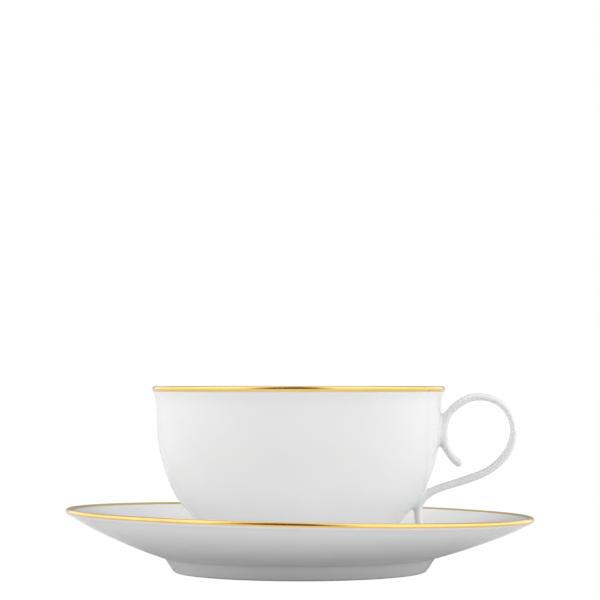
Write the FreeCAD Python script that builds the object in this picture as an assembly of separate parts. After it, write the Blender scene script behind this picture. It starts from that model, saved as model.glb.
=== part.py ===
"""Teacup with a looped strap handle, standing on its saucer. Millimetres.

+Z is up and +X runs from the cup's axis towards the handle. The origin is the centre of the saucer's foot, on the
surface that the saucer stands on. Every round piece is a profile in the XZ plane turned about the Z axis.
"""
import FreeCAD
import Part
import math
import os

from FreeCAD import Matrix, Vector

# saucer
SAUCER_RADIUS = 80.0
SAUCER_HEIGHT = 19.8
SAUCER_RIM_ROUND = 1.0
SAUCER_RIM_OUTSIDE_SLOPE = 45.0
SAUCER_RIM_INSIDE_SLOPE = 25.0
WELL_FLOOR_Z = 6.0
WELL_RADIUS = 35.0
WELL_UNDERSIDE_Z = 3.2

# saucer foot ring
SAUCER_FOOT_CONTACT_INNER = 41.8
SAUCER_FOOT_CONTACT_OUTER = 43.0
SAUCER_FOOT_INNER_TOP = 40.2
SAUCER_FOOT_OUTER_TOP = 47.0
SAUCER_FOOT_OUTER_TOP_Z = 5.0
SAUCER_FOOT_EDGE = 0.6

# cup
CUP_RIM_RADIUS = 50.0
CUP_RIM_Z = 63.0
CUP_LIP_ROUND = 0.9
CUP_LIP_OUTSIDE_SLOPE = 70.0
CUP_LIP_INSIDE_SLOPE = 78.0
BOWL_FLOOR_Z = 12.2
BOWL_UNDERSIDE_Z = 9.0
CUP_ON_SAUCER_GAP = 0.1

# cup foot ring
CUP_FOOT_OUTER = 27.0
CUP_FOOT_WALL = 2.8
CUP_FOOT_TAPER = 0.5
CUP_FOOT_EDGE = 0.5

# gold bands, fired over both rims and this far past their rounded part
GOLD_THICKNESS = 0.12
CUP_GOLD_OUTSIDE = 0.75
CUP_GOLD_INSIDE = 0.3
SAUCER_GOLD_OUTSIDE = 0.1
SAUCER_GOLD_INSIDE = 1.25

# handle: a strap with an oval section, whose centreline lies in the XZ plane
HANDLE_WIDTH = 5.6
HANDLE_THICKNESS = 2.5
HANDLE_START = (55.0, 36.6)
HANDLE_START_HEADING = 143.0
# each stretch is (radius, turn in degrees, anticlockwise positive), or (length, 0) where it is straight
HANDLE_STRETCHES = [
    (24.0, -13.0),  # inner scroll, leading from its tip
    (6.0, -40.0),  # scroll comes off the wall
    (4.0, 0.0),  # upper seat, straight up the wall
    (9.1, -32.5),
    (13.9, -40.0),
    (11.3, -84.0),  # over the top of the loop
    (12.9, -49.2),  # round the outer side
    (16.7, -28.2),
    (26.5, -17.8),
    (11.0, 0.0),  # lower arm
    (18.0, 17.0),
    (8.0, 55.0),  # lower seat, down the wall
    (10.0, 45.0),  # tail, curling away from the wall
]

# slip that lutes the handle to the wall: half axes across the wall, along Y and up the wall
SLIP_HEIGHT = 1.0
SLIP_HALF_WIDTH = 3.7
UPPER_SLIP_HALF_LENGTH = 6.0
UPPER_SLIP_CENTRE = (48.3, 47.6)
UPPER_SLIP_TILT = 0.0
LOWER_SLIP_HALF_LENGTH = 4.6
LOWER_SLIP_CENTRE = (40.6, 23.6)
LOWER_SLIP_TILT = 36.0

Y_AXIS = Vector(0, 1, 0)
Z_AXIS = Vector(0, 0, 1)


def point(across, up):
    """A point of the XZ plane."""
    return Vector(across, 0, up)


def heading(degrees):
    """A unit direction of the XZ plane, turned up from +X."""
    return point(math.cos(math.radians(degrees)), math.sin(math.radians(degrees)))


def line(start, end):
    return Part.LineSegment(start, end).toShape()


def arc(start, middle, end):
    return Part.Arc(start, middle, end).toShape()


def curve(points, start_heading, end_heading):
    """A smooth curve through points, leaving and arriving in the given headings."""
    spline = Part.BSplineCurve()
    spline.interpolate(
        Points=points,
        InitialTangent=heading(start_heading),
        FinalTangent=heading(end_heading),
    )
    return spline.toShape()


def profile(edges):
    """The flat face that a closed run of edges encloses."""
    return Part.Face(Part.Wire(edges))


def turned(face):
    """The solid that a profile makes when it turns about the Z axis."""
    return face.revolve(Vector(0, 0, 0), Z_AXIS, 360)


class Rim:
    """A rounded rim in a gold band, running up one side and down the other along straight stretches.

    Slopes are the steepness of the outside and the inside where they meet the round, in degrees from level.
    Band points lie on the gold's surface and body points lie on the porcelain under it.
    """

    def __init__(self, centre, radius, outside_slope, inside_slope, gold_outside, gold_inside):
        self.centre = centre
        self.radius = radius
        self.outside_heading = outside_slope
        self.inside_heading = inside_slope + 180
        self.gold_outside = gold_outside
        self.gold_inside = gold_inside

    def surface(self, depth):
        """Start, round start, round middle, round end and end of the rim's line at a depth under the gold."""
        size = self.radius - depth
        round_start = self.centre + heading(self.outside_heading - 90) * size
        round_middle = self.centre + heading((self.outside_heading + self.inside_heading) / 2 - 90) * size
        round_end = self.centre + heading(self.inside_heading - 90) * size
        start = round_start - heading(self.outside_heading) * self.gold_outside
        end = round_end + heading(self.inside_heading) * self.gold_inside
        return start, round_start, round_middle, round_end, end

    def over(self, depth):
        """Edges from outside to inside over the rim."""
        start, round_start, round_middle, round_end, end = self.surface(depth)
        return [line(start, round_start), arc(round_start, round_middle, round_end), line(round_end, end)]

    def steps(self):
        """The two short edges across the gold's thickness, on the outside and on the inside."""
        gold = self.surface(0)
        body = self.surface(GOLD_THICKNESS)
        return line(gold[0], body[0]), line(body[-1], gold[-1])

    def outside_end(self):
        return self.surface(0)[0]

    def inside_end(self):
        return self.surface(0)[-1]

    def band(self):
        outside_step, inside_step = self.steps()
        return profile([*self.over(0), inside_step, *reversed(self.over(GOLD_THICKNESS)), outside_step])

    def body_edges(self):
        outside_step, inside_step = self.steps()
        return [outside_step, *self.over(GOLD_THICKNESS), inside_step]


def saucer_rim():
    return Rim(
        point(SAUCER_RADIUS - SAUCER_RIM_ROUND, SAUCER_HEIGHT - SAUCER_RIM_ROUND),
        SAUCER_RIM_ROUND,
        SAUCER_RIM_OUTSIDE_SLOPE,
        SAUCER_RIM_INSIDE_SLOPE,
        SAUCER_GOLD_OUTSIDE,
        SAUCER_GOLD_INSIDE,
    )


def cup_lip():
    return Rim(
        point(CUP_RIM_RADIUS - CUP_LIP_ROUND, CUP_RIM_Z - CUP_LIP_ROUND),
        CUP_LIP_ROUND,
        CUP_LIP_OUTSIDE_SLOPE,
        CUP_LIP_INSIDE_SLOPE,
        CUP_GOLD_OUTSIDE,
        CUP_GOLD_INSIDE,
    )


def saucer_profile(rim):
    """Plate: flat well, flange rising to the rim. The foot ring is left out."""
    foot_inner = point(SAUCER_FOOT_INNER_TOP, WELL_UNDERSIDE_Z)
    foot_outer = point(SAUCER_FOOT_OUTER_TOP, SAUCER_FOOT_OUTER_TOP_Z)
    well_edge = point(WELL_RADIUS, WELL_FLOOR_Z)
    underside = curve(
        [foot_outer, point(56.0, 7.9), point(66.5, 11.9), point(75.5, 16.0), rim.outside_end()],
        16,
        rim.outside_heading,
    )
    inside = curve(
        [rim.inside_end(), point(72.0, 16.9), point(60.0, 12.3), point(50.0, 8.7), well_edge],
        rim.inside_heading,
        180,
    )
    return profile(
        [
            line(point(0, WELL_UNDERSIDE_Z), foot_inner),
            line(foot_inner, foot_outer),
            underside,
            *rim.body_edges(),
            inside,
            line(well_edge, point(0, WELL_FLOOR_Z)),
            line(point(0, WELL_FLOOR_Z), point(0, WELL_UNDERSIDE_Z)),
        ]
    )


def saucer_foot_profile():
    """A tapering ring under the well, with rounded edges beside its flat contact face."""
    inner_top = point(SAUCER_FOOT_INNER_TOP, WELL_UNDERSIDE_Z)
    outer_top = point(SAUCER_FOOT_OUTER_TOP, SAUCER_FOOT_OUTER_TOP_Z)
    contact_inner = point(SAUCER_FOOT_CONTACT_INNER, 0)
    contact_outer = point(SAUCER_FOOT_CONTACT_OUTER, 0)
    edge = SAUCER_FOOT_EDGE
    inner_wall = contact_inner + point(-edge, edge)
    outer_wall = contact_outer + point(edge, edge)
    # the middle of each rounded edge lies this far along both axes from its ends
    bulge = edge * math.sin(math.radians(45))
    return profile(
        [
            line(inner_top, inner_wall),
            arc(inner_wall, contact_inner + point(-bulge, edge - bulge), contact_inner),
            line(contact_inner, contact_outer),
            arc(contact_outer, contact_outer + point(bulge, edge - bulge), outer_wall),
            line(outer_wall, outer_top),
            line(outer_top, inner_top),
        ]
    )


def bowl_profile(lip):
    """Bowl: steep sides that flare a little into the lip. The foot ring is left out."""
    outside = curve(
        [
            point(0, BOWL_UNDERSIDE_Z),
            point(20.0, 9.2),
            point(30.8, 13.0),
            point(37.2, 19.6),
            point(41.5, 25.0),
            point(44.8, 31.8),
            point(47.0, 38.7),
            point(48.2, 46.0),
            point(48.6, 54.5),
            point(49.1, 59.3),
            lip.outside_end(),
        ],
        0,
        lip.outside_heading,
    )
    inside = curve(
        [
            lip.inside_end(),
            point(47.1, 58.5),
            point(46.3, 49.0),
            point(44.9, 39.5),
            point(42.0, 30.8),
            point(35.6, 22.0),
            point(26.0, 15.4),
            point(14.0, 12.6),
            point(0, BOWL_FLOOR_Z),
        ],
        lip.inside_heading,
        180,
    )
    return profile(
        [
            outside,
            *lip.body_edges(),
            inside,
            line(point(0, BOWL_FLOOR_Z), point(0, BOWL_UNDERSIDE_Z)),
        ]
    )


def cup_foot_blank():
    """The cup's foot ring before the bowl's underside is cut from its top."""
    bottom = WELL_FLOOR_Z + CUP_ON_SAUCER_GAP
    inner = CUP_FOOT_OUTER - CUP_FOOT_WALL
    corners = [
        (inner - CUP_FOOT_TAPER, BOWL_FLOOR_Z),
        (inner, bottom + CUP_FOOT_EDGE),
        (inner + CUP_FOOT_EDGE, bottom),
        (CUP_FOOT_OUTER - CUP_FOOT_TAPER - CUP_FOOT_EDGE, bottom),
        (CUP_FOOT_OUTER - CUP_FOOT_TAPER, bottom + CUP_FOOT_EDGE),
        (CUP_FOOT_OUTER, BOWL_FLOOR_Z),
    ]
    vertices = [point(*corner) for corner in corners]
    return turned(Part.Face(Part.makePolygon(vertices + vertices[:1])))


def stretch_of_handle(start, direction, size, turn):
    """One edge of the handle's centreline, the point where it ends and the heading there."""
    if turn == 0:
        end = start + heading(direction) * size
        return line(start, end), end, direction
    side = math.copysign(90, turn)
    centre = start + heading(direction + side) * size
    spoke = direction - side
    middle = centre + heading(spoke + turn / 2) * size
    end = centre + heading(spoke + turn) * size
    return arc(start, middle, end), end, direction + turn


def handle_section(centre, direction):
    """The handle's oval outline, square to the given heading: wide along Y and thin in the XZ plane."""
    ellipse = Part.Ellipse(
        centre + Y_AXIS * (HANDLE_WIDTH / 2),
        centre + heading(direction + 90) * (HANDLE_THICKNESS / 2),
        centre,
    )
    return Part.Wire(ellipse.toShape())


def handle_end(centre, direction):
    """The rounded end of the strap: its oval section turned half way about Y."""
    oval = Part.Face(handle_section(centre, direction))
    half = Part.makeBox(HANDLE_THICKNESS, HANDLE_WIDTH, HANDLE_THICKNESS)
    half.translate(Vector(0, -HANDLE_WIDTH / 2, -HANDLE_THICKNESS / 2))
    half.rotate(Vector(0, 0, 0), Y_AXIS, -direction - 90)
    half.translate(centre)
    return oval.common(half).revolve(centre, Y_AXIS, 180)


def handle_blank():
    """The whole strap, from the scroll's tip round the loop to the tail's tip."""
    position = point(*HANDLE_START)
    direction = HANDLE_START_HEADING
    edges = []
    for size, turn in HANDLE_STRETCHES:
        edge, position, direction = stretch_of_handle(position, direction, size, turn)
        edges.append(edge)
    sweep = Part.BRepOffsetAPI.MakePipeShell(Part.Wire(edges))
    sweep.setBiNormalMode(Y_AXIS)
    sweep.add(handle_section(point(*HANDLE_START), HANDLE_START_HEADING))
    sweep.build()
    sweep.makeSolid()
    scroll_tip = handle_end(point(*HANDLE_START), HANDLE_START_HEADING + 180)
    tail_tip = handle_end(position, direction)
    return sweep.shape().fuse([scroll_tip, tail_tip])


def slip_blank(centre, half_length, tilt):
    """A pad of slip, domed off the wall, before the bowl is cut from its back."""
    stretch = Matrix()
    stretch.scale(SLIP_HEIGHT, SLIP_HALF_WIDTH, half_length)
    pad = Part.makeSphere(1).transformGeometry(stretch)
    pad.rotate(Vector(0, 0, 0), Y_AXIS, tilt)
    pad.translate(point(*centre))
    return pad


def saucer_pieces():
    rim = saucer_rim()
    return {
        "saucer_plate": turned(saucer_profile(rim)),
        "saucer_foot_ring": turned(saucer_foot_profile()),
        "saucer_gold_band": turned(rim.band()),
    }


def cup_pieces():
    lip = cup_lip()
    bowl = turned(bowl_profile(lip))
    upper_slip = slip_blank(UPPER_SLIP_CENTRE, UPPER_SLIP_HALF_LENGTH, UPPER_SLIP_TILT).cut(bowl)
    lower_slip = slip_blank(LOWER_SLIP_CENTRE, LOWER_SLIP_HALF_LENGTH, LOWER_SLIP_TILT).cut(bowl)
    return {
        "cup_bowl": bowl,
        "cup_foot_ring": cup_foot_blank().cut(bowl),
        "cup_gold_band": turned(lip.band()),
        "handle": handle_blank().cut([bowl, upper_slip, lower_slip]),
        "upper_slip_joint": upper_slip,
        "lower_slip_joint": lower_slip,
    }


def main():
    os.makedirs("parts", exist_ok=True)
    pieces = {**saucer_pieces(), **cup_pieces()}
    for node, shape in pieces.items():
        shape.exportStep(f"parts/{node}.step")
        print(node, "valid", shape.isValid(), "solids", len(shape.Solids), "mm3", round(shape.Volume, 1))


main()
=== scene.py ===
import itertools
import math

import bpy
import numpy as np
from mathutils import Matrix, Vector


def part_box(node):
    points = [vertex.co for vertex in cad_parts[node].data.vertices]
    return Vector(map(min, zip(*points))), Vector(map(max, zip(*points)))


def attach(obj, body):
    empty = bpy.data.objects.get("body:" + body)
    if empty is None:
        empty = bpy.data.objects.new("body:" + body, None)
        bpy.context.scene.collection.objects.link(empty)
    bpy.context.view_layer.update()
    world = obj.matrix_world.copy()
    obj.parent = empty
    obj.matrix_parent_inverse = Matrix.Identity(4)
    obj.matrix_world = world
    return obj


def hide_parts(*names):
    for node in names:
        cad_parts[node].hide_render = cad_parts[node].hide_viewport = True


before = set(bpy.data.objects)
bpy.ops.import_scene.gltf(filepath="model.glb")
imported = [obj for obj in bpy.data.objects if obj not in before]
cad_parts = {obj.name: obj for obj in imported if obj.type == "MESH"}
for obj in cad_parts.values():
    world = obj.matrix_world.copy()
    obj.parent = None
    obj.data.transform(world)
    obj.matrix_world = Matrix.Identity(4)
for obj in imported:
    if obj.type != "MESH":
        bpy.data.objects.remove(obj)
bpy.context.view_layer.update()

# Looks of a glazed porcelain teacup and saucer with fired gold rims.
# The round pieces are outlines turned about the Z axis. The handle is the skin of a solid described
# by distances, so that it flows into the bowl's wall through soft slip fillets. Outlines are in
# millimetres, and meshes in metres. X is toward the handle, and the camera looks along Y.

MM = 0.001


def box_mm(node):
    low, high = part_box(node)
    return np.array(low) / MM, np.array(high) / MM


# driving sizes, from the frame
_, saucer_high = box_mm("saucer_gold_band")
plate_low, _ = box_mm("saucer_plate")
_, lip_high = box_mm("cup_gold_band")
bowl_low, _ = box_mm("cup_bowl")
cup_foot_low, cup_foot_high = box_mm("cup_foot_ring")
_, handle_high = box_mm("handle")

# the saucer's rim is this much inside its box in the frame, and stands this far off the cup's axis
SAUCER_INSET = 0.33
SAUCER_OFFSET = 0.45
SAUCER_RADIUS = saucer_high[0] - SAUCER_INSET
SAUCER_RIM_Z = saucer_high[2]
WELL_UNDERSIDE_Z = plate_low[2]
WELL_FLOOR_Z = 6.0
WELL_RADIUS = 35.0
CUP_RADIUS = lip_high[0]
CUP_RIM_Z = lip_high[2]
BOWL_UNDERSIDE_Z = bowl_low[2]
BOWL_FLOOR_Z = 12.2
CUP_BASE_Z = cup_foot_low[2]
CUP_FOOT_RADIUS = cup_foot_high[0]

ROUND_SEGMENTS = 384
FOOT_SPACING = 0.2
SAME_PLACE = 1e-5
AXIS_WIDTH = 1e-6
# under the gold the glaze lies one film down, and the gold's face and underside lie these shares of a
# film above and below the rim's line
GOLD_FILM = 0.05
GOLD_PROUD = 0.2
GOLD_SINK = 1.5
# headings of an outline in degrees: outward is 0 and up is 90
OUTWARD = 0.0
INWARD = 180.0


# ---------------------------------------------------------------- outlines


def heading(degrees):
    return np.array([math.cos(math.radians(degrees)), math.sin(math.radians(degrees))])


def smooth(points, start_heading=None, end_heading=None, spacing=0.5):
    """Points about spacing apart along a cubic spline through the given points.

    It leaves and arrives at the headings where they are given.
    """
    points = np.array(points, float)
    knots = np.concatenate([[0], np.cumsum(np.linalg.norm(np.diff(points, axis=0), axis=1))])
    count = len(points)
    width = np.diff(knots)
    chord = np.diff(points, axis=0) / width[:, None]
    matrix = np.zeros((count, count))
    target = np.zeros_like(points)
    for i in range(1, count - 1):
        matrix[i, i - 1 : i + 2] = [width[i], 2 * (width[i - 1] + width[i]), width[i - 1]]
        target[i] = 3 * (width[i] * chord[i - 1] + width[i - 1] * chord[i])
    matrix[0, :2] = [2, 1]
    target[0] = 3 * chord[0]
    matrix[-1, -2:] = [1, 2]
    target[-1] = 3 * chord[-1]
    if start_heading is not None:
        matrix[0, :2] = [1, 0]
        target[0, :2] = heading(start_heading)
    if end_heading is not None:
        matrix[-1, -2:] = [0, 1]
        target[-1, :2] = heading(end_heading)
    slope = np.linalg.solve(matrix, target)
    samples = max(2, round(knots[-1] / spacing) + 1)
    at = np.linspace(0, knots[-1], samples)
    span = np.clip(np.searchsorted(knots, at, side="right") - 1, 0, count - 2)
    t = ((at - knots[span]) / width[span])[:, None]
    size = width[span][:, None]
    return (
        points[span] * (1 + 2 * t) * (1 - t) ** 2
        + points[span + 1] * t**2 * (3 - 2 * t)
        + slope[span] * size * t * (1 - t) ** 2
        - slope[span + 1] * size * t**2 * (1 - t)
    )


def round_part(centre, radius, start, end, spacing=0.08):
    """Points of an arc between two directions from its centre, in degrees."""
    samples = max(3, round(abs(math.radians(end - start)) * radius / spacing) + 1)
    return np.array([centre + heading(a) * radius for a in np.linspace(start, end, samples)])


def joined(*runs):
    """Runs of points end to end, with repeated points dropped."""
    points = np.concatenate([np.atleast_2d(run) for run in runs])
    keep = [0]
    for i in range(1, len(points)):
        if np.linalg.norm(points[i] - points[keep[-1]]) > SAME_PLACE:
            keep.append(i)
    return points[keep]


# ---------------------------------------------------------------- meshes

SURFACE_PASSES = 4
LEAST_STEEPNESS = 0.05


def add_mesh(name, vertices, faces, material, sharp_angle=35.0):
    mesh = bpy.data.meshes.new(name)
    mesh.from_pydata((np.array(vertices) * MM).tolist(), [], faces)
    mesh.validate()
    mesh.polygons.foreach_set("use_smooth", [True] * len(mesh.polygons))
    mesh.set_sharp_from_angle(angle=math.radians(sharp_angle))
    mesh.materials.append(material)
    piece = bpy.data.objects.new(name, mesh)
    bpy.context.scene.collection.objects.link(piece)
    return piece


def lathe(name, outline, material, closed=False, bend=None):
    """Turns an outline of (radius, height) points about Z. Points on the axis become single vertices.

    A closed outline joins its last point to its first. bend moves the finished vertices.
    """
    angles = np.linspace(0, 2 * math.pi, ROUND_SEGMENTS, endpoint=False)
    length = len(outline)
    vertices, index = [], np.zeros((length, ROUND_SEGMENTS), int)
    for i, (radius, height) in enumerate(outline):
        if radius < AXIS_WIDTH:
            index[i, :] = len(vertices)
            vertices.append((0.0, 0.0, height))
            continue
        for j, angle in enumerate(angles):
            index[i, j] = len(vertices)
            vertices.append((radius * math.cos(angle), radius * math.sin(angle), height))
    faces = []
    for i in range(length if closed else length - 1):
        below, above = index[i], index[(i + 1) % length]
        for j in range(ROUND_SEGMENTS):
            k = (j + 1) % ROUND_SEGMENTS
            corners = [below[j], below[k], above[k], above[j]]
            face = [int(c) for n, c in enumerate(corners) if c not in corners[:n]]
            if len(face) > 2:
                faces.append(face)
    vertices = np.array(vertices)
    if bend:
        vertices = bend(vertices)
    return add_mesh(name, vertices, faces, material)


def skin_of(field, low, high, step):
    """Vertices and quads of the surface where field is zero: one vertex in each grid cell that it crosses.

    Each vertex starts at the mean of the crossings on its cell's edges, and is then moved onto the surface.
    """
    axes = [np.arange(lo, hi + step, step) for lo, hi in zip(low, high)]
    grid = np.stack(np.meshgrid(*axes, indexing="ij"), -1)
    value = field(grid)
    inside = value < 0
    cells = np.array(value.shape) - 1
    total = np.zeros((*cells, 3))
    hits = np.zeros(tuple(cells))
    crossings = []
    for axis in range(3):
        near = [slice(None)] * 3
        far = [slice(None)] * 3
        near[axis], far[axis] = slice(None, -1), slice(1, None)
        near, far = tuple(near), tuple(far)
        crossed = inside[near] != inside[far]
        gap = np.where(crossed, value[near] - value[far], 1.0)
        where = grid[near].copy()
        where[..., axis] += np.where(crossed, value[near] / gap, 0) * step
        others = [a for a in range(3) if a != axis]
        for shift in itertools.product((0, 1), repeat=2):
            part = [slice(None)] * 3
            for other, s in zip(others, shift):
                part[other] = slice(s, cells[other] + s)
            part = tuple(part)
            total += np.where(crossed[part][..., None], where[part], 0)
            hits += crossed[part]
        crossings.append((axis, others, crossed, inside[near]))
    number = np.full(tuple(cells), -1)
    used = hits > 0
    number[used] = np.arange(used.sum())
    vertices = total[used] / hits[used][:, None]
    faces = []
    for axis, others, crossed, starts_inside in crossings:
        at = np.argwhere(crossed)
        kept = np.all([(at[:, o] > 0) & (at[:, o] < cells[o]) for o in others], axis=0)
        at = at[kept]
        ring = []
        for back in ((0, 0), (1, 0), (1, 1), (0, 1)):
            cell = at.copy()
            for other, b in zip(others, back):
                cell[:, other] -= b
            ring.append(number[tuple(cell.T)])
        quads = np.stack(ring, 1)
        flip = starts_inside[tuple(at.T)] == (axis == 1)
        quads[flip] = quads[flip][:, ::-1]
        faces.extend(quads.tolist())
    for _ in range(SURFACE_PASSES):
        off = field(vertices)
        steepness = gradient(field, vertices)
        squared = (steepness**2).sum(-1).clip(LEAST_STEEPNESS)
        vertices -= steepness * (off / squared)[:, None].clip(-step, step)
    return vertices, faces


def gradient(field, points, reach=0.01):
    """The field's steepness along X, Y and Z at each point."""
    slopes = []
    for axis in range(3):
        shift = np.zeros(3)
        shift[axis] = reach
        slopes.append((field(points + shift) - field(points - shift)) / (2 * reach))
    return np.stack(slopes, -1)


# ---------------------------------------------------------------- materials

# each mottled colour runs from its first to its second over the noise's range
PORCELAIN_WHITES = ((0.846, 0.851, 0.854), (0.862, 0.866, 0.868))
BISQUE_WHITES = ((0.70, 0.68, 0.64), (0.79, 0.77, 0.73))
GOLDS = ((0.93, 0.64, 0.22), (0.96, 0.70, 0.27))
GLAZE_ROUGHNESS = (0.07, 0.12)
GOLD_ROUGHNESS = (0.14, 0.24)
BISQUE_ROUGHNESS = 0.62
GLAZE_IOR = 1.5
# the glaze ends this many millimetres above the contact face, plus up to the wander, over the fade
GLAZE_LINE = 0.35
GLAZE_WANDER = 0.3
GLAZE_FADE = 0.1
NOISE_LOW = 0.3
NOISE_HIGH = 0.7


def node(tree, kind, inputs=None, **settings):
    """A shader node with its settings and inputs. An input is a value, or the socket that feeds it."""
    made = tree.nodes.new(kind)
    for name, value in settings.items():
        setattr(made, name, value)
    for name, value in (inputs or {}).items():
        if isinstance(value, bpy.types.NodeSocket):
            tree.links.new(value, made.inputs[name])
        else:
            made.inputs[name].default_value = value
    return made


def maths(tree, operation, *values):
    return node(tree, "ShaderNodeMath", dict(enumerate(values)), operation=operation).outputs[0]


def vector_maths(tree, operation, *values, output="Vector"):
    return node(tree, "ShaderNodeVectorMath", dict(enumerate(values)), operation=operation).outputs[output]


def new_material(name):
    """A material, its node tree, its Principled shader and the object's own coordinates."""
    material = bpy.data.materials.new(name)
    material.use_nodes = True
    tree = material.node_tree
    shader = tree.nodes["Principled BSDF"]
    place = tree.nodes.new("ShaderNodeTexCoord").outputs["Object"]
    return material, tree, shader, place


def noise(tree, place, scale, detail):
    inputs = {"Vector": place, "Scale": scale, "Detail": detail}
    return node(tree, "ShaderNodeTexNoise", inputs).outputs["Fac"]


def mottled(tree, factor, colours, low=NOISE_LOW, high=NOISE_HIGH):
    """The colour between two that the factor picks, from the first at low to the second at high."""
    made = node(tree, "ShaderNodeValToRGB", {"Fac": factor})
    for element, position, colour in zip(made.color_ramp.elements, (low, high), colours):
        element.position = position
        element.color = (*colour, 1)
    return made.outputs["Color"]


def spread(tree, factor, low, high):
    """The factor's range of noise stretched to run from low to high."""
    inputs = {"Value": factor, "From Min": NOISE_LOW, "From Max": NOISE_HIGH, "To Min": low, "To Max": high}
    return node(tree, "ShaderNodeMapRange", inputs).outputs["Result"]


def porcelain_white(tree, place):
    """The body's cool white, which clouds very slightly."""
    return mottled(tree, noise(tree, place, scale=55.0, detail=3.0), PORCELAIN_WHITES)


def glaze_skin(tree, place, shader):
    """Gives a glazed shader the faint unevenness of a dipped glaze, and returns its roughness."""
    ripple = noise(tree, place, scale=130.0, detail=2.0)
    bump = node(tree, "ShaderNodeBump", {"Height": ripple, "Strength": 0.06, "Distance": 0.0004})
    tree.links.new(bump.outputs["Normal"], shader.inputs["Normal"])
    shader.inputs["IOR"].default_value = GLAZE_IOR
    return spread(tree, ripple, *GLAZE_ROUGHNESS)


def glazed_porcelain():
    """Cool white hard porcelain under a clear glaze."""
    material, tree, shader, place = new_material("glazed_porcelain")
    tree.links.new(porcelain_white(tree, place), shader.inputs["Base Color"])
    tree.links.new(glaze_skin(tree, place, shader), shader.inputs["Roughness"])
    return material


def foot_porcelain(name, ground):
    """Glazed walls above a wiped, dry contact face, which is a little warmer and grainy.

    ground is the height of the contact face.
    """
    material, tree, shader, place = new_material(name)
    height = node(tree, "ShaderNodeSeparateXYZ", {"Vector": place}).outputs["Z"]
    wiped = noise(tree, place, scale=400.0, detail=2.0)
    edge = maths(tree, "SUBTRACT", height, maths(tree, "MULTIPLY", wiped, GLAZE_WANDER * MM))
    starts = ground + GLAZE_LINE
    inputs = {"Value": edge, "From Min": starts * MM, "From Max": (starts + GLAZE_FADE) * MM}
    glazed = node(tree, "ShaderNodeMapRange", inputs).outputs["Result"]
    grain = noise(tree, place, scale=2500.0, detail=4.0)
    bisque = mottled(tree, grain, BISQUE_WHITES, low=0.35, high=0.65)
    inputs = {"Fac": glazed, "Color1": bisque, "Color2": porcelain_white(tree, place)}
    colour = node(tree, "ShaderNodeMixRGB", inputs).outputs["Color"]
    tree.links.new(colour, shader.inputs["Base Color"])
    inputs = {"Value": glazed, "To Min": BISQUE_ROUGHNESS, "To Max": glaze_skin(tree, place, shader)}
    roughness = node(tree, "ShaderNodeMapRange", inputs).outputs["Result"]
    tree.links.new(roughness, shader.inputs["Roughness"])
    return material


def fired_gold():
    """Burnished gold: fine brush streaks run along the band, and the film's colour varies a little."""
    material, tree, shader, place = new_material("fired_gold")
    parts = node(tree, "ShaderNodeSeparateXYZ", {"Vector": place}).outputs
    inputs = {"X": maths(tree, "ARCTAN2", parts["Y"], parts["X"]), "Y": parts["Z"]}
    along = node(tree, "ShaderNodeCombineXYZ", inputs).outputs[0]
    stretched = node(tree, "ShaderNodeMapping", {"Vector": along, "Scale": (14.0, 2600.0, 1.0)}).outputs[0]
    colour = mottled(tree, noise(tree, place, scale=60.0, detail=2.0), GOLDS)
    tree.links.new(colour, shader.inputs["Base Color"])
    shader.inputs["Metallic"].default_value = 1.0
    roughness = spread(tree, noise(tree, stretched, scale=1.0, detail=3.0), *GOLD_ROUGHNESS)
    tree.links.new(roughness, shader.inputs["Roughness"])
    return material


# ---------------------------------------------------------------- rims


class Rim:
    """The line over a rounded rim, from its outside to its inside, that the gold follows."""

    def __init__(self, centre, radius, outside_heading, inside_slope, outside_run, inside_run):
        inside_heading = inside_slope + 180
        start = centre + heading(outside_heading - 90) * radius
        end = centre + heading(inside_heading - 90) * radius
        self.line = joined(
            start - heading(outside_heading) * outside_run,
            round_part(centre, radius, outside_heading - 90, inside_heading - 90),
            end + heading(inside_heading) * inside_run,
        )
        step = np.gradient(self.line, axis=0)
        step /= np.linalg.norm(step, axis=1)[:, None]
        self.out = np.stack([step[:, 1], -step[:, 0]], 1)
        self.outside_heading = outside_heading
        self.inside_heading = inside_heading

    def under_gold(self):
        """The porcelain's line: one film below the rim's line, and on it at both ends."""
        depth = np.full(len(self.line), GOLD_FILM)
        depth[0] = depth[-1] = 0
        return self.line - self.out * depth[:, None]

    def band(self):
        """The closed outline of the gold: its surface, then back along its underside."""
        surface = self.line + self.out * GOLD_FILM * GOLD_PROUD
        surface[0], surface[-1] = self.line[0], self.line[-1]
        under = self.line - self.out * GOLD_FILM * GOLD_SINK
        return joined(surface, under[::-1][1:-1])


# ---------------------------------------------------------------- saucer

RIM_ROUND = 1.0
saucer_rim = Rim(
    np.array([SAUCER_RADIUS - RIM_ROUND, SAUCER_RIM_Z - RIM_ROUND]),
    RIM_ROUND,
    outside_heading=58.0,
    inside_slope=25.0,
    outside_run=0.0,
    inside_run=1.25,
)
# how the flange is warped: the radius where that begins, how far the rim moves in millimetres, the power
# of the way out by which it grows, and the share of the way to the rim where it stops growing
FLANGE_START = 47.0
FLANGE_DROP = 1.6
FLANGE_PITCH = 0.95
FLANGE_RISE = 0.33
FLANGE_CURL = 1.3
PAST_RIM = 1.1


def off_centre(vertices):
    """The saucer stands a little off the cup's axis, toward the handle."""
    return vertices + np.array([SAUCER_OFFSET, 0, 0])


def kiln_warp(vertices):
    """Warps the flange, lower on the handle's side and behind, higher in front. Then sets it off centre."""
    moved = vertices.copy()
    across, along = vertices[:, 0], vertices[:, 1]
    distance = np.hypot(across, along)
    outward = (distance - FLANGE_START) / (SAUCER_RADIUS - FLANGE_START)
    amount = np.clip(outward, 0, PAST_RIM) ** FLANGE_CURL
    lean = (FLANGE_DROP * across + FLANGE_PITCH * along) / np.maximum(distance, 1)
    moved[:, 2] += amount * (FLANGE_RISE - lean)
    return off_centre(moved)


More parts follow.
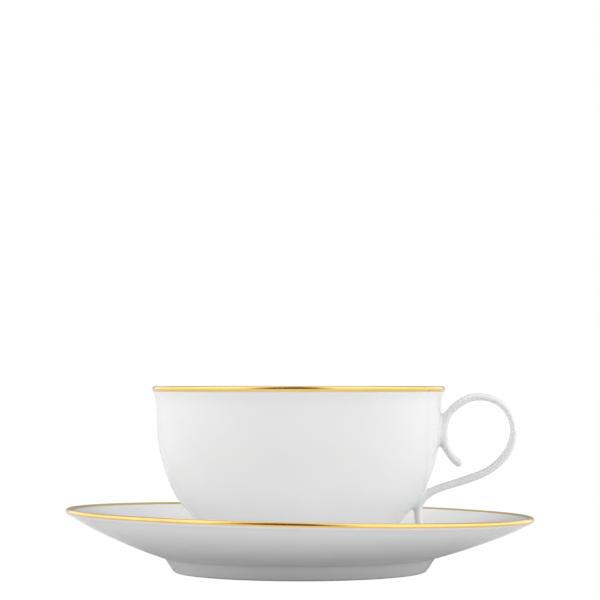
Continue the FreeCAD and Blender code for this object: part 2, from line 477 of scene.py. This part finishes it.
def saucer_plate(porcelain):
    underside = smooth(
        [(45.9, 4.75), (56.0, 7.9), (66.5, 11.9), (75.5, 16.0), (78.0, 17.3), saucer_rim.line[0]],
        15,
        saucer_rim.outside_heading,
    )
    inside = smooth(
        [saucer_rim.line[-1], (72.0, 16.9), (60.0, 12.3), (50.0, 8.7), (WELL_RADIUS, WELL_FLOOR_Z)],
        saucer_rim.inside_heading,
        INWARD,
    )
    base = WELL_UNDERSIDE_Z
    recess = smooth([(0, base + 0.25), (20.0, base + 0.2), (40.0, base)], OUTWARD)
    well = smooth([(WELL_RADIUS, WELL_FLOOR_Z), (0, WELL_FLOOR_Z)], spacing=1.5)
    outline = joined(recess, underside, saucer_rim.under_gold(), inside, well)
    return lathe("saucer_plate_glazed", outline, porcelain, bend=kiln_warp)


def saucer_foot(porcelain):
    base = WELL_UNDERSIDE_Z
    contact_inner, contact_outer = 41.8, 42.4
    edge, outer_edge = 0.6, 1.1
    outline = joined(
        smooth([(38.6, base + 0.3), (39.9, base - 0.1), (40.6, 2.2)], -8, -70, FOOT_SPACING),
        round_part(np.array([contact_inner, edge]), edge, 200, 270),
        round_part(np.array([contact_outer, outer_edge]), outer_edge, 270, 325),
        smooth([(43.3, 0.47), (45.4, 3.6), (46.5, 4.85), (48.7, 5.6)], 55, 19, FOOT_SPACING),
        [(49.0, 6.2), (38.6, base + 1.2)],
    )
    return lathe("saucer_foot_glazed", outline, porcelain, closed=True, bend=off_centre)


# ---------------------------------------------------------------- cup

LIP_ROUND = 0.9
lip = Rim(
    np.array([CUP_RADIUS - LIP_ROUND, CUP_RIM_Z - LIP_ROUND]),
    LIP_ROUND,
    outside_heading=70.0,
    inside_slope=78.0,
    outside_run=0.75,
    inside_run=0.3,
)
BOWL_OUTSIDE = smooth(
    [
        (0, BOWL_UNDERSIDE_Z),
        (20.0, 9.2),
        (30.8, 13.0),
        (37.2, 19.6),
        (41.5, 25.0),
        (44.8, 31.8),
        (47.0, 38.7),
        (48.2, 46.0),
        (48.6, 54.5),
        (49.1, 59.3),
        lip.line[0],
    ],
    OUTWARD,
    lip.outside_heading,
)


def cup_bowl(porcelain):
    inside = smooth(
        [
            lip.line[-1],
            (47.1, 58.5),
            (46.3, 49.0),
            (44.9, 39.5),
            (42.0, 30.8),
            (35.6, 22.0),
            (26.0, 15.4),
            (14.0, 12.6),
            (0, BOWL_FLOOR_Z),
        ],
        lip.inside_heading,
        INWARD,
    )
    return lathe("cup_bowl_glazed", joined(BOWL_OUTSIDE, lip.under_gold(), inside), porcelain)


def cup_foot(porcelain):
    base, edge = CUP_BASE_Z, 0.5
    contact_inner, contact_outer = 24.7, 26.0
    outline = joined(
        smooth([(22.8, 9.6), (23.6, 8.9), (24.2, base + edge)], -10, -85, FOOT_SPACING),
        round_part(np.array([contact_inner, base + edge]), edge, 180, 270),
        round_part(np.array([contact_outer, base + edge]), edge, 270, 355),
        smooth([(26.5, base + 0.46), (26.9, 9.2), (29.6, 12.3)], 88, 38, FOOT_SPACING),
        [(28.6, 12.6), (22.8, 10.6)],
    )
    return lathe("cup_foot_glazed", outline, porcelain, closed=True)


# ---------------------------------------------------------------- handle

STRAP_HALF = 1.25
LOOP_RADIUS = 12.0
loop_middle = np.array([handle_high[0], handle_high[2]]) - LOOP_RADIUS - STRAP_HALF
# the strap's centreline, from the scroll's end round the loop to the tail's tip: millimetres across and
# up from the loop's middle, then its half thickness and half width
STRAP = [
    (-6.85, -10.6, 1.3, 2.1),
    (-7.95, -9.75, 1.28, 2.1),
    (-9.35, -8.1, 1.25, 2.3),
    (-10.8, -5.85, 1.3, 2.6),
    (-11.75, -2.6, 1.45, 3.0),
    (-11.8, 1.6, 1.4, 3.1),
    (-10.4, 5.8, 1.28, 3.0),
    (-7.6, 8.8, 1.3, 2.8),
    (-2.9, 11.5, 1.27, 2.7),
    (2.6, 11.7, 1.17, 2.7),
    (7.6, 9.6, 1.12, 2.7),
    (10.9, 5.3, 1.1, 2.7),
    (12.0, 0.0, 1.1, 2.7),
    (10.75, -5.5, 1.34, 2.7),
    (7.6, -9.9, 1.3, 2.7),
    (3.2, -13.3, 1.24, 2.7),
    (-1.8, -15.5, 1.3, 2.75),
    (-9.5, -18.0, 1.25, 2.85),
    (-14.7, -19.8, 1.24, 3.0),
    (-17.6, -21.5, 1.3, 3.1),
    (-20.0, -24.4, 1.35, 3.1),
    (-20.7, -28.2, 1.35, 2.9),
    (-20.0, -32.0, 1.3, 2.5),
    (-17.7, -34.9, 1.1, 1.8),
]
STRAP_SQUARENESS = 2.2
# the slip's spread, the share of it where the slip is trimmed, how deep the handle's ends go into the wall,
# and how deep its skin still takes the shading of handle and bowl as one body
SLIP_BLEND = 2.2
SLIP_END = 0.93
SEAT_DEPTH = 0.95
WALL_OVERLAP = 0.05
SKIN_STEP = 0.3
SKIN_MARGIN = 2.5
SKIN_HALF_WIDTH = 6.0
COARSE_STRIDE = 10
CHUNK = 20000
LEAST_SIZE = 1e-9
LEAST_SLOPE = 1e-6


def strap_line():
    rows = smooth(STRAP, spacing=0.1)
    rows[:, :2] += loop_middle
    return rows


strap_rows = strap_line()
strap_step = np.gradient(strap_rows, axis=0)
strap_spacing = np.linalg.norm(strap_step[:, :2], axis=1)[:, None]
strap_tangent = strap_step[:, :2] / strap_spacing
strap_growth = strap_step[:, 2:] / strap_spacing
strap_growth[[0, -1]] = 0


def nearest_on_strap(places):
    """The row of the strap nearest each (x, z) place: the nearest coarse row, then the best around it."""
    coarse = strap_rows[::COARSE_STRIDE, :2]
    window = np.arange(-COARSE_STRIDE, COARSE_STRIDE + 1)
    rows = np.zeros(len(places), int)
    for start in range(0, len(places), CHUNK):
        some = places[start : start + CHUNK]
        rough = ((some[:, None] - coarse) ** 2).sum(-1).argmin(1) * COARSE_STRIDE
        near = np.clip(rough[:, None] + window, 0, len(strap_rows) - 1)
        fine = ((some[:, None] - strap_rows[near, :2]) ** 2).sum(-1).argmin(1)
        rows[start : start + CHUNK] = near[np.arange(len(some)), fine]
    return rows


def strap_distance(points):
    """About how far points are from the strap's surface, below zero inside it."""
    flat = points.reshape(-1, 3)
    rows = nearest_on_strap(flat[:, [0, 2]])
    away = flat[:, [0, 2]] - strap_rows[rows, :2]
    along = (away * strap_tangent[rows]).sum(1)
    across = away[:, 0] * strap_tangent[rows, 1] - away[:, 1] * strap_tangent[rows, 0]
    half = strap_rows[rows, 2:] + strap_growth[rows] * along[:, None]
    beyond = np.where(rows == 0, np.minimum(along, 0), 0)
    beyond = np.where(rows == len(strap_rows) - 1, np.maximum(along, 0), beyond)
    thick = np.hypot(across, beyond) / half[:, 0]
    wide = np.abs(flat[:, 1]) / half[:, 1]
    power = STRAP_SQUARENESS
    size = np.maximum((thick**power + wide**power) ** (1 / power), LEAST_SIZE)
    slope = np.hypot(
        (thick / size) ** (power - 1) / half[:, 0],
        (wide / size) ** (power - 1) / half[:, 1],
    )
    return ((size - 1) / np.maximum(slope, LEAST_SLOPE)).reshape(points.shape[:-1])


def wall_distance(points):
    """How far points are outside the bowl's outer wall, below zero within it."""
    distance = np.hypot(points[..., 0], points[..., 1])
    line = BOWL_OUTSIDE[BOWL_OUTSIDE[:, 0] > CUP_FOOT_RADIUS]
    radius = np.interp(points[..., 2], line[:, 1], line[:, 0])
    steepness = np.gradient(line[:, 0], line[:, 1])
    lean = np.interp(points[..., 2], line[:, 1], steepness)
    return (distance - radius) / np.hypot(1, lean)


def melted(strap, wall):
    """The strap and the wall run together where their distances are nearly the same."""
    near = np.maximum(SLIP_BLEND - np.abs(strap - wall), 0) / SLIP_BLEND
    return np.minimum(strap, wall) - near**2 * SLIP_BLEND / 4


def luted(points):
    """The handle and the bowl as one body, with slip fillets between them."""
    return melted(strap_distance(points), wall_distance(points))


def handle_body(points):
    """The handle with its slip fillets, ending a little inside the wall."""
    strap, wall = strap_distance(points), wall_distance(points)
    seated = np.maximum(melted(strap, wall), -(wall + SEAT_DEPTH))
    return np.maximum(seated, strap - SLIP_BLEND * SLIP_END)


def handle(porcelain):
    left, bottom = strap_rows[:, :2].min(axis=0) - SKIN_MARGIN
    right, top = strap_rows[:, :2].max(axis=0) + SKIN_MARGIN
    low = np.array([left, -SKIN_HALF_WIDTH, bottom])
    high = np.array([right, SKIN_HALF_WIDTH, top])
    vertices, faces = skin_of(handle_body, low, high, SKIN_STEP)
    piece = add_mesh("handle_glazed", vertices, faces, porcelain, sharp_angle=180.0)
    outside = (wall_distance(vertices) > -WALL_OVERLAP)[:, None]
    normals = np.where(outside, gradient(luted, vertices), gradient(handle_body, vertices))
    normals /= np.linalg.norm(normals, axis=1)[:, None]
    piece.data.normals_split_custom_set_from_vertices(normals.tolist())
    return piece


# ---------------------------------------------------------------- assembly

porcelain = glazed_porcelain()
saucer_foot_porcelain = foot_porcelain("saucer_foot_porcelain", 0.0)
cup_foot_porcelain = foot_porcelain("cup_foot_porcelain", CUP_BASE_Z)
gold = fired_gold()

plate_piece = saucer_plate(porcelain)
foot_piece = saucer_foot(saucer_foot_porcelain)
saucer_gold_piece = lathe("saucer_gold_rim", saucer_rim.band(), gold, closed=True, bend=kiln_warp)
bowl_piece = cup_bowl(porcelain)
cup_foot_piece = cup_foot(cup_foot_porcelain)
lip_gold_piece = lathe("cup_gold_rim", lip.band(), gold, closed=True)
handle_piece = handle(porcelain)

for piece, body, slot, nodes in (
    (plate_piece, "saucer", "glazed_porcelain", ["saucer_plate"]),
    (foot_piece, "saucer", "foot_porcelain", ["saucer_foot_ring"]),
    (saucer_gold_piece, "saucer", "gold", ["saucer_gold_band"]),
    (bowl_piece, "cup", "glazed_porcelain", ["cup_bowl"]),
    (cup_foot_piece, "cup", "foot_porcelain", ["cup_foot_ring"]),
    (lip_gold_piece, "cup", "gold", ["cup_gold_band"]),
    (handle_piece, "cup", "glazed_porcelain", ["handle", "upper_slip_joint", "lower_slip_joint"]),
):
    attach(piece, body)
    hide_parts(*nodes)


# ---------------------------------------------------------------- studio

FLOOR_RADIUS = 20.0
FLOOR_ALBEDO = 0.8
FLOOR_WHITE_TO_CAMERA = 0.97
FLOOR_WHITENESS = 1.02
# Soft light from all round: its strength along each axis, its lean to one end of each axis, and its
# diagonals (right and back, back and up, up and right), kept between the least and the most. It is
# strong at both sides, reaches further round at the right, and is dim in front and straight behind.
LIGHT_ALONG = (6.2, -1.1, 3.9)
LIGHT_LEAN = (1.1, -0.5, -3.2)
LIGHT_DIAGONAL = (-0.4, -0.6, -1.5)
LIGHT_LEAST = 0.4
LIGHT_MOST = 1.8
HORIZON_SOFTNESS = 0.04
# What glossy surfaces mirror: a white tent, dimmer straight behind and high up behind, with a dark warm
# gap in front where the camera stands. The gap's bearing, width and softness are in degrees about Z, and
# bearing 0 is toward the camera.
TENT_STRENGTH = 1.25
TENT_BACKDROP = 0.4
BACKDROP_EDGE = (0.88, 0.98)
TENT_CEILING_BEHIND = 0.42
CEILING_EDGE = (0.15, 0.42)
GAP_COLOUR = (0.12, 0.03, 0.004)
GAP_BEARING = -7.0
GAP_HALF_WIDTH = 29.0
GAP_SOFTNESS = 13.0
GAP_HEIGHT = 0.9
GAP_TOP_SOFTNESS = 0.3


def bearing_from(tree, vector, middle):
    """How far a vector's bearing about Z is from the middle bearing, in radians."""
    parts = node(tree, "ShaderNodeSeparateXYZ", {"Vector": vector}).outputs
    bearing = maths(tree, "ARCTAN2", parts["X"], maths(tree, "MULTIPLY", parts["Y"], -1.0))
    return maths(tree, "ABSOLUTE", maths(tree, "SUBTRACT", bearing, math.radians(middle)))


def smooth_step(tree, value, start, end, low=0.0, high=1.0):
    """Goes from low to high while value goes from start to end."""
    inputs = {"Value": value, "From Min": start, "From Max": end, "To Min": low, "To Max": high}
    return node(tree, "ShaderNodeMapRange", inputs, interpolation_type="SMOOTHSTEP").outputs["Result"]


def studio_floor():
    """Pale paper, which the camera sees nearly burnt out to white."""
    bpy.ops.mesh.primitive_circle_add(
        vertices=96,
        radius=FLOOR_RADIUS,
        fill_type="NGON",
        location=(0, 0, 0),
    )
    floor = bpy.context.object
    floor.name = "studio_floor"
    material = bpy.data.materials.new("pale_floor")
    material.use_nodes = True
    tree = material.node_tree
    tree.nodes.clear()
    path = tree.nodes.new("ShaderNodeLightPath").outputs
    paper = node(tree, "ShaderNodeBsdfDiffuse", {"Color": (FLOOR_ALBEDO, FLOOR_ALBEDO, FLOOR_ALBEDO, 1)})
    white = node(tree, "ShaderNodeEmission", {"Color": (1, 1, 1, 1), "Strength": FLOOR_WHITENESS})
    share = maths(tree, "MULTIPLY", path["Is Camera Ray"], FLOOR_WHITE_TO_CAMERA)
    both = node(tree, "ShaderNodeMixShader", {"Fac": share, 1: paper.outputs[0], 2: white.outputs[0]})
    node(tree, "ShaderNodeOutputMaterial", {"Surface": both.outputs[0]})
    # its white is only for the camera, so it isn't sampled as a lamp
    material.cycles.emission_sampling = "NONE"
    floor.data.materials.append(material)


def soft_light(tree, toward):
    """The strength of the light that falls on everything, by the direction it comes from."""
    parts = node(tree, "ShaderNodeSeparateXYZ", {"Vector": toward}).outputs
    inputs = {"X": parts["Y"], "Y": parts["Z"], "Z": parts["X"]}
    turned = node(tree, "ShaderNodeCombineXYZ", inputs).outputs[0]
    squares = vector_maths(tree, "MULTIPLY", toward, toward)
    products = vector_maths(tree, "MULTIPLY", toward, turned)
    along = vector_maths(tree, "DOT_PRODUCT", squares, LIGHT_ALONG, output="Value")
    lean = vector_maths(tree, "DOT_PRODUCT", toward, LIGHT_LEAN, output="Value")
    diagonal = vector_maths(tree, "DOT_PRODUCT", products, LIGHT_DIAGONAL, output="Value")
    total = maths(tree, "ADD", maths(tree, "ADD", along, lean), diagonal)
    above_floor = smooth_step(tree, parts["Z"], -HORIZON_SOFTNESS, 0.0)
    inputs = {"Value": total, "Min": LIGHT_LEAST, "Max": LIGHT_MOST}
    bounded = node(tree, "ShaderNodeClamp", inputs).outputs[0]
    return maths(tree, "MULTIPLY", bounded, above_floor)


def mirrored_tent(tree, toward):
    """The colour that glossy surfaces mirror, by direction."""
    parts = node(tree, "ShaderNodeSeparateXYZ", {"Vector": toward}).outputs
    offset = bearing_from(tree, toward, GAP_BEARING)
    inner = math.radians(GAP_HALF_WIDTH - GAP_SOFTNESS)
    outer = math.radians(GAP_HALF_WIDTH + GAP_SOFTNESS)
    beside = smooth_step(tree, offset, inner, outer)
    height = maths(tree, "ABSOLUTE", parts["Z"])
    above = smooth_step(tree, height, GAP_HEIGHT, GAP_HEIGHT + GAP_TOP_SOFTNESS)
    open_tent = maths(tree, "MAXIMUM", beside, above)
    backdrop = smooth_step(tree, parts["Y"], *BACKDROP_EDGE, TENT_STRENGTH, TENT_BACKDROP)
    ceiling_behind = maths(tree, "MULTIPLY", parts["Y"], parts["Z"])
    shade = smooth_step(tree, ceiling_behind, *CEILING_EDGE, 1.0, TENT_CEILING_BEHIND)
    strength = maths(tree, "MULTIPLY", backdrop, shade)
    inputs = {"Red": strength, "Green": strength, "Blue": strength}
    tent = node(tree, "ShaderNodeCombineColor", inputs).outputs[0]
    inputs = {"Fac": open_tent, "Color1": (*GAP_COLOUR, 1), "Color2": tent}
    return node(tree, "ShaderNodeMixRGB", inputs).outputs["Color"]


def studio_light():
    """Soft light on everything, the tent for what is glossy, and plain white for the camera."""
    world = bpy.data.worlds.new("studio")
    world.use_nodes = True
    bpy.context.scene.world = world
    tree = world.node_tree
    tree.nodes.clear()
    toward = tree.nodes.new("ShaderNodeTexCoord").outputs["Generated"]
    path = tree.nodes.new("ShaderNodeLightPath").outputs
    inputs = {"Color": (1, 1, 1, 1), "Strength": soft_light(tree, toward)}
    lamp = node(tree, "ShaderNodeBackground", inputs)
    tent = node(tree, "ShaderNodeBackground", {"Color": mirrored_tent(tree, toward), "Strength": 1.0})
    white = node(tree, "ShaderNodeBackground", {"Color": (1, 1, 1, 1), "Strength": 1.0})
    inputs = {"Fac": path["Is Glossy Ray"], 1: lamp.outputs[0], 2: tent.outputs[0]}
    lit = node(tree, "ShaderNodeMixShader", inputs)
    inputs = {"Fac": path["Is Camera Ray"], 1: lit.outputs[0], 2: white.outputs[0]}
    seen = node(tree, "ShaderNodeMixShader", inputs)
    node(tree, "ShaderNodeOutputWorld", {"Surface": seen.outputs[0]})


# the camera stands in front, nearly level with the lip, and looks a little up
CAMERA_DISTANCE = 0.788
CAMERA_SIDE = 0.00045
CAMERA_BELOW_LIP = 0.6
CAMERA_PITCH = 2.19
LENS = 138.0
SENSOR_WIDTH = 36


def camera():
    data = bpy.data.cameras.new("camera")
    data.lens = LENS
    data.sensor_width = SENSOR_WIDTH
    data.clip_start, data.clip_end = 0.05, 60
    eye = bpy.data.objects.new("camera", data)
    bpy.context.scene.collection.objects.link(eye)
    eye.location = (CAMERA_SIDE, -CAMERA_DISTANCE, (CUP_RIM_Z - CAMERA_BELOW_LIP) * MM)
    eye.rotation_euler = (math.radians(90 + CAMERA_PITCH), 0, 0)
    bpy.context.scene.camera = eye


studio_floor()
studio_light()
camera()
bpy.context.scene.view_settings.view_transform = "Standard"

bpy.context.view_layer.update()
